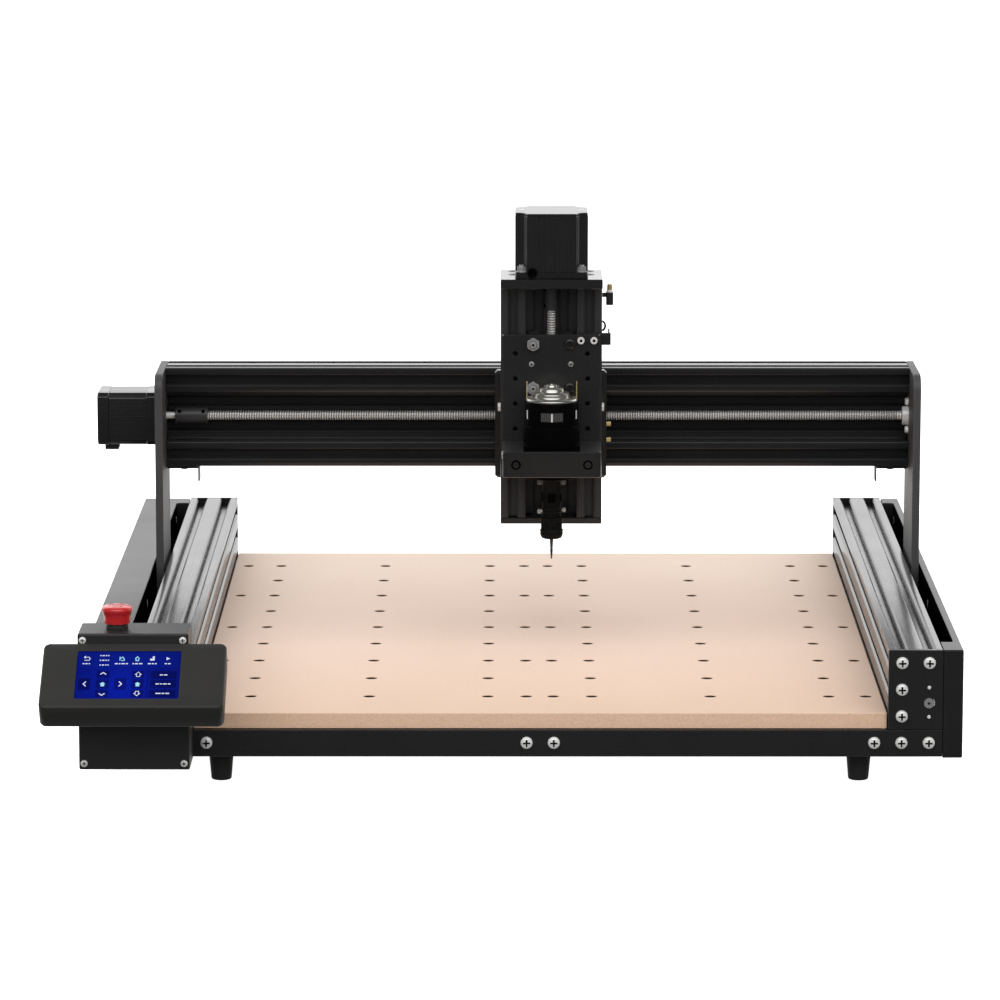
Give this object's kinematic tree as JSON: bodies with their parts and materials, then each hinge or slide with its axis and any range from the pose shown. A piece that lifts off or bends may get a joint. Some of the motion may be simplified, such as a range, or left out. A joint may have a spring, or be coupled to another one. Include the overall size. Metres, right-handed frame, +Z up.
{
  "type": "desktop cnc router",
  "caption": "Desktop CNC router with a drilled spoilboard, a sliding gantry, a vertical axis with a spindle, and a control box with a tilted display and a stop button.",
  "frame": {"origin": "centre of the bottom of the bounding box, on the surface that the feet stand on", "axes": "+X to the machine's right, +Y to its back, +Z up"},
  "size_m": [0.6698, 0.7931, 0.3902],
  "materials": {
    "black_anodised": "satin black anodised aluminium",
    "motor_black": "satin black paint",
    "black_plastic": "fine-textured black plastic",
    "rubber": "matt black rubber",
    "bed_board": "unfinished fine fibreboard",
    "steel": "bright turned steel",
    "screen_glass": "glossy blue screen",
    "stop_red": "semi-gloss red",
    "nut_black": "black acetal",
    "wheel_plastic": "black acetal",
    "circuit_green": "green circuit board"
  },
  "bodies": {
    "frame": {"y_rail_left": "black_anodised", "y_rail_right": "black_anodised", "bed_support_left": "black_anodised", "bed_support_centre": "black_anodised", "bed_support_right": "black_anodised", "spoilboard": "bed_board", "front_cross_plate": "black_anodised", "rear_cross_plate": "black_anodised", "end_plate_front_left": "black_anodised", "end_plate_front_right": "black_anodised", "end_plate_rear_left": "black_anodised", "end_plate_rear_right": "black_anodised", "side_cover_right": "black_anodised", "electronics_enclosure": "black_anodised", "control_board": "circuit_green", "foot_front_left": "rubber", "foot_front_right": "rubber", "foot_rear_left": "rubber", "foot_rear_right": "rubber", "control_box": "black_plastic", "display_housing": "black_plastic", "display_glass": "screen_glass", "estop_collar": "black_plastic", "y_motor_left": "motor_black", "y_motor_right": "motor_black"},
    "stop_button": {"estop_button": "stop_red"},
    "y_screw_left": {"y_leadscrew_left": "steel"},
    "y_screw_right": {"y_leadscrew_right": "steel"},
    "gantry": {"gantry_plate_left": "black_anodised", "gantry_plate_right": "black_anodised", "x_beam": "black_anodised", "y_nut_left": "nut_black", "y_nut_right": "nut_black", "x_motor": "motor_black"},
    "x_screw": {"x_leadscrew": "steel", "x_coupler": "black_anodised"},
    "x_carriage": {"x_carriage_plate": "black_anodised", "x_nut": "nut_black", "z_rail": "black_anodised", "z_top_plate": "black_anodised", "z_bottom_plate": "black_anodised", "z_motor": "motor_black", "z_limit_switch": "black_plastic"},
    "z_screw": {"z_leadscrew": "steel", "z_coupler": "black_anodised"},
    "z_carriage": {"z_carriage_plate": "black_anodised", "z_nut": "nut_black", "spindle_clamp": "black_anodised", "spindle_motor": "motor_black", "switch_trigger": "black_anodised"},
    "spindle": {"collet_nut": "steel", "end_mill": "steel"},
    "x_wheel_lower_left": {"x_wheel_lower_left": "wheel_plastic"},
    "x_wheel_lower_right": {"x_wheel_lower_right": "wheel_plastic"},
    "x_wheel_upper_left": {"x_wheel_upper_left": "wheel_plastic"},
    "x_wheel_upper_right": {"x_wheel_upper_right": "wheel_plastic"},
    "z_wheel_lower_left": {"z_wheel_lower_left": "wheel_plastic"},
    "z_wheel_lower_right": {"z_wheel_lower_right": "wheel_plastic"},
    "z_wheel_upper_left": {"z_wheel_upper_left": "wheel_plastic"},
    "z_wheel_upper_right": {"z_wheel_upper_right": "wheel_plastic"}
  },
  "joints": [
    {"name": "stop_press", "type": "slide", "parent": "frame", "child": "stop_button", "axis": [0, 0, -1], "range_m": [0, 0.004], "stiffness_N_per_m": 900, "springref_m": -0.002},
    {"name": "gantry_y", "type": "slide", "parent": "frame", "child": "gantry", "axis": [0, 1, 0], "range_m": [-0.28, 0.19]},
    {"name": "y_screw_left_turn", "type": "hinge", "parent": "frame", "child": "y_screw_left", "pos_m": [-0.2609, 0.02679, 0.064], "axis": [0, 1, 0], "continuous": true},
    {"name": "y_screw_right_turn", "type": "hinge", "parent": "frame", "child": "y_screw_right", "pos_m": [0.3099, 0.02679, 0.064], "axis": [0, 1, 0], "continuous": true},
    {"name": "carriage_x", "type": "slide", "parent": "gantry", "child": "x_carriage", "axis": [1, 0, 0], "range_m": [-0.241, 0.219]},
    {"name": "x_screw_turn", "type": "hinge", "parent": "gantry", "child": "x_screw", "pos_m": [0.0245, 0.09079, 0.2165], "axis": [1, 0, 0], "continuous": true},
    {"name": "carriage_z", "type": "slide", "parent": "x_carriage", "child": "z_carriage", "axis": [0, 0, 1], "range_m": [-0.064, 0.015]},
    {"name": "z_screw_turn", "type": "hinge", "parent": "x_carriage", "child": "z_screw", "pos_m": [0.035, 0.02779, 0.25], "axis": [0, 0, 1], "continuous": true},
    {"name": "spindle_turn", "type": "hinge", "parent": "z_carriage", "child": "spindle", "pos_m": [0.035, -0.02221, 0.14], "axis": [0, 0, 1], "continuous": true},
    {"name": "x_wheel_lower_left_turn", "type": "hinge", "parent": "x_carriage", "child": "x_wheel_lower_left", "pos_m": [0.007, 0.09079, 0.20215], "axis": [0, 1, 0], "continuous": true},
    {"name": "x_wheel_lower_right_turn", "type": "hinge", "parent": "x_carriage", "child": "x_wheel_lower_right", "pos_m": [0.063, 0.09079, 0.20215], "axis": [0, 1, 0], "continuous": true},
    {"name": "x_wheel_upper_left_turn", "type": "hinge", "parent": "x_carriage", "child": "x_wheel_upper_left", "pos_m": [0.007, 0.09079, 0.23085], "axis": [0, 1, 0], "continuous": true},
    {"name": "x_wheel_upper_right_turn", "type": "hinge", "parent": "x_carriage", "child": "x_wheel_upper_right", "pos_m": [0.063, 0.09079, 0.23085], "axis": [0, 1, 0], "continuous": true},
    {"name": "z_wheel_lower_left_turn", "type": "hinge", "parent": "z_carriage", "child": "z_wheel_lower_left", "pos_m": [0.02065, 0.02779, 0.2522], "axis": [0, 1, 0], "continuous": true},
    {"name": "z_wheel_lower_right_turn", "type": "hinge", "parent": "z_carriage", "child": "z_wheel_lower_right", "pos_m": [0.04935, 0.02779, 0.2522], "axis": [0, 1, 0], "continuous": true},
    {"name": "z_wheel_upper_left_turn", "type": "hinge", "parent": "z_carriage", "child": "z_wheel_upper_left", "pos_m": [0.02065, 0.02779, 0.2869], "axis": [0, 1, 0], "continuous": true},
    {"name": "z_wheel_upper_right_turn", "type": "hinge", "parent": "z_carriage", "child": "z_wheel_upper_right", "pos_m": [0.04935, 0.02779, 0.2869], "axis": [0, 1, 0], "continuous": true}
  ],
  "couplings": [
    {"joint": "y_screw_left_turn", "follows": "gantry_y", "rad_per_m": -1570.8},
    {"joint": "y_screw_right_turn", "follows": "gantry_y", "rad_per_m": -1570.8},
    {"joint": "x_screw_turn", "follows": "carriage_x", "rad_per_m": -1570.8},
    {"joint": "z_screw_turn", "follows": "carriage_z", "rad_per_m": -1570.8},
    {"joint": "x_wheel_lower_left_turn", "follows": "carriage_x", "rad_per_m": 151.51},
    {"joint": "x_wheel_lower_right_turn", "follows": "carriage_x", "rad_per_m": 151.51},
    {"joint": "x_wheel_upper_left_turn", "follows": "carriage_x", "rad_per_m": -151.51},
    {"joint": "x_wheel_upper_right_turn", "follows": "carriage_x", "rad_per_m": -151.51},
    {"joint": "z_wheel_lower_left_turn", "follows": "carriage_z", "rad_per_m": -151.51},
    {"joint": "z_wheel_lower_right_turn", "follows": "carriage_z", "rad_per_m": 151.51},
    {"joint": "z_wheel_upper_left_turn", "follows": "carriage_z", "rad_per_m": -151.51},
    {"joint": "z_wheel_upper_right_turn", "follows": "carriage_z", "rad_per_m": 151.51}
  ]
}
